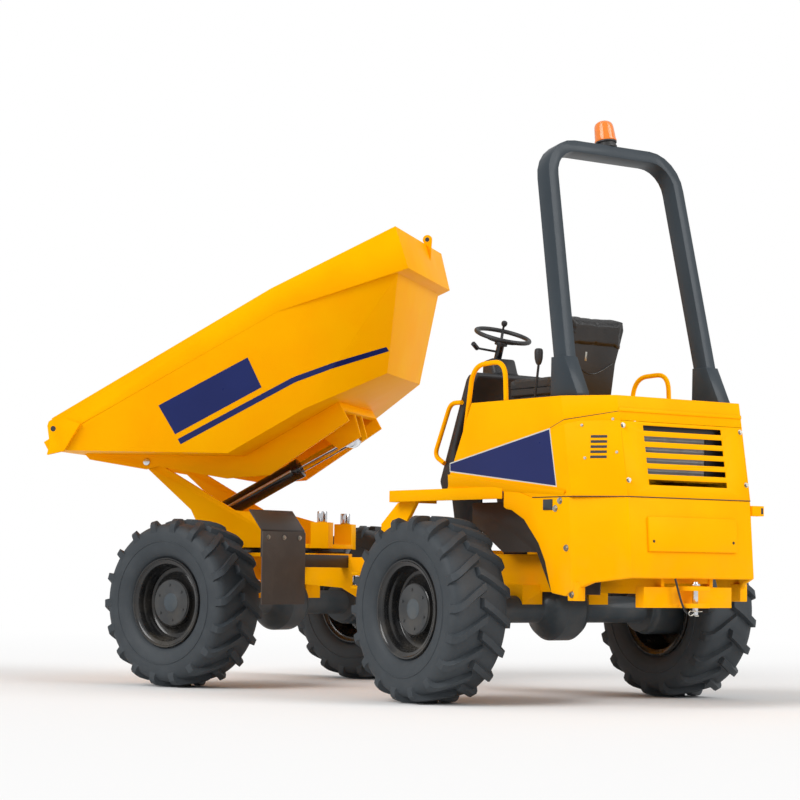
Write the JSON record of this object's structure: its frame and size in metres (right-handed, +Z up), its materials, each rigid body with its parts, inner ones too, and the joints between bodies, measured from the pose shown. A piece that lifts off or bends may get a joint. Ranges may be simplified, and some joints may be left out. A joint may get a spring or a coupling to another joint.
{
  "type": "swivel-skip site dumper",
  "caption": "Four-wheel site dumper with a jointed chassis, a skip that swivels and tips on a turntable, a roll bar and a rear engine hood.",
  "frame": {"origin": "on the ground, under the middle of the whole machine's outline as it stands", "axes": "+X forward along the rear chassis, +Y to its left, +Z up"},
  "size_m": [5.2698, 3.0922, 3.423],
  "materials": {
    "yellow_paint": "semi-gloss",
    "slate_paint": "satin",
    "black_paint": "gloss",
    "axle_grey": "satin painted casting",
    "tyre_rubber": "matt",
    "flap_rubber": "matt",
    "chrome": "polished",
    "black_plastic": "grained",
    "seat_vinyl": "grained vinyl",
    "amber_lens": "clear amber",
    "radiator_core": "finned",
    "engine_iron": "painted"
  },
  "bodies": {
    "rear_chassis": {"rear_frame": "yellow_paint", "rear_axle": "axle_grey", "engine_block": "engine_iron", "radiator": "radiator_core", "hood": "yellow_paint", "side_panels": "yellow_paint", "grille_panel": "yellow_paint", "tail_panel": "yellow_paint", "tail_cover": "yellow_paint", "fenders": "yellow_paint", "floor_plate": "slate_paint", "console": "black_plastic", "steering_column": "black_paint", "control_levers": "black_plastic", "seat_base": "black_plastic", "seat_cushion": "seat_vinyl", "seat_back": "seat_vinyl", "grab_rails": "yellow_paint", "rops_frame": "slate_paint", "beacon_base": "black_plastic", "beacon_lens": "amber_lens", "tow_hitch": "axle_grey", "tow_pin": "chrome", "articulation_pin": "chrome"},
    "front_chassis": {"front_frame": "yellow_paint", "front_axle": "axle_grey", "slew_ring": "black_paint", "flap_plates": "black_paint", "mud_flaps": "flap_rubber"},
    "turntable": {"swivel_base": "yellow_paint", "rest_posts": "chrome"},
    "skip": {"skip_shell": "yellow_paint", "skip_underframe": "yellow_paint", "hinge_pins": "chrome"},
    "tip_barrel": {"tip_barrel": "black_paint"},
    "tip_rod": {"tip_rod": "chrome"},
    "steer_barrel_left": {"steer_barrel_left": "axle_grey"},
    "steer_rod_left": {"steer_rod_left": "chrome"},
    "steer_barrel_right": {"steer_barrel_right": "axle_grey"},
    "steer_rod_right": {"steer_rod_right": "chrome"},
    "steering_wheel": {"steering_wheel": "black_plastic"},
    "front_left_wheel": {"tyre_front_left": "tyre_rubber", "wheel_front_left": "black_paint"},
    "front_right_wheel": {"tyre_front_right": "tyre_rubber", "wheel_front_right": "black_paint"},
    "rear_left_wheel": {"tyre_rear_left": "tyre_rubber", "wheel_rear_left": "black_paint"},
    "rear_right_wheel": {"tyre_rear_right": "tyre_rubber", "wheel_rear_right": "black_paint"}
  },
  "joints": [
    {"name": "steer", "type": "hinge", "parent": "rear_chassis", "child": "front_chassis", "pos_m": [-0.17, -0.385, 0.69], "axis": [0, 0, 1], "range_deg": [-48.6, 15.4]},
    {"name": "skip_swivel", "type": "hinge", "parent": "front_chassis", "child": "turntable", "pos_m": [0.97999, -0.04217, 0.9], "axis": [0, 0, 1], "range_deg": [-113.6, 66.4]},
    {"name": "skip_tip", "type": "hinge", "parent": "turntable", "child": "skip", "pos_m": [1.66206, 0.53422, 1.455], "axis": [-0.6455, 0.7638, 0], "range_deg": [-29.2, 28.8]},
    {"name": "tip_barrel_pivot", "type": "hinge", "parent": "turntable", "child": "tip_barrel", "pos_m": [1.40848, 0.31993, 1.106], "axis": [-0.6455, 0.7638, 0], "range_deg": [-34, 34]},
    {"name": "tip_rod_slide", "type": "slide", "parent": "tip_barrel", "child": "tip_rod", "axis": [-0.6696, -0.5658, 0.4811], "range_m": [-0.24, 0.24]},
    {"name": "steer_left_pivot", "type": "hinge", "parent": "rear_chassis", "child": "steer_barrel_left", "pos_m": [-0.62, -0.055, 0.69], "axis": [0, 0, 1], "range_deg": [-24, 9]},
    {"name": "steer_left_slide", "type": "slide", "parent": "steer_barrel_left", "child": "steer_rod_left", "axis": [0.9954, 0.0956, 0], "range_m": [-0.1, 0.28]},
    {"name": "steer_right_pivot", "type": "hinge", "parent": "rear_chassis", "child": "steer_barrel_right", "pos_m": [-0.62, -0.715, 0.69], "axis": [0, 0, 1], "range_deg": [-24, 9]},
    {"name": "steer_right_slide", "type": "slide", "parent": "steer_barrel_right", "child": "steer_rod_right", "axis": [0.9858, 0.1682, 0], "range_m": [-0.28, 0.1]},
    {"name": "steering_wheel_turn", "type": "hinge", "parent": "rear_chassis", "child": "steering_wheel", "pos_m": [-0.818, -0.385, 2.173], "axis": [-0.342, 0, 0.9397], "continuous": true},
    {"name": "front_left_wheel_spin", "type": "hinge", "parent": "front_chassis", "child": "front_left_wheel", "pos_m": [0.814, 0.89966, 0.535], "axis": [-0.2857, 0.9583, 0], "continuous": true},
    {"name": "front_right_wheel_spin", "type": "hinge", "parent": "front_chassis", "child": "front_right_wheel", "pos_m": [1.35681, -0.92115, 0.535], "axis": [-0.2857, 0.9583, 0], "continuous": true},
    {"name": "rear_left_wheel_spin", "type": "hinge", "parent": "rear_chassis", "child": "rear_left_wheel", "pos_m": [-1.385, 0.565, 0.535], "axis": [0, 1, 0], "continuous": true},
    {"name": "rear_right_wheel_spin", "type": "hinge", "parent": "rear_chassis", "child": "rear_right_wheel", "pos_m": [-1.385, -1.335, 0.535], "axis": [0, 1, 0], "continuous": true}
  ],
  "couplings": [
    {"joint": "tip_barrel_pivot", "follows": "skip_tip", "ratio": 1.13},
    {"joint": "tip_rod_slide", "follows": "skip_tip", "m_per_rad": 0.44},
    {"joint": "steer_left_pivot", "follows": "steer", "ratio": 0.455},
    {"joint": "steer_left_slide", "follows": "steer", "m_per_rad": -0.32},
    {"joint": "steer_right_pivot", "follows": "steer", "ratio": 0.455},
    {"joint": "steer_right_slide", "follows": "steer", "m_per_rad": 0.3}
  ]
}
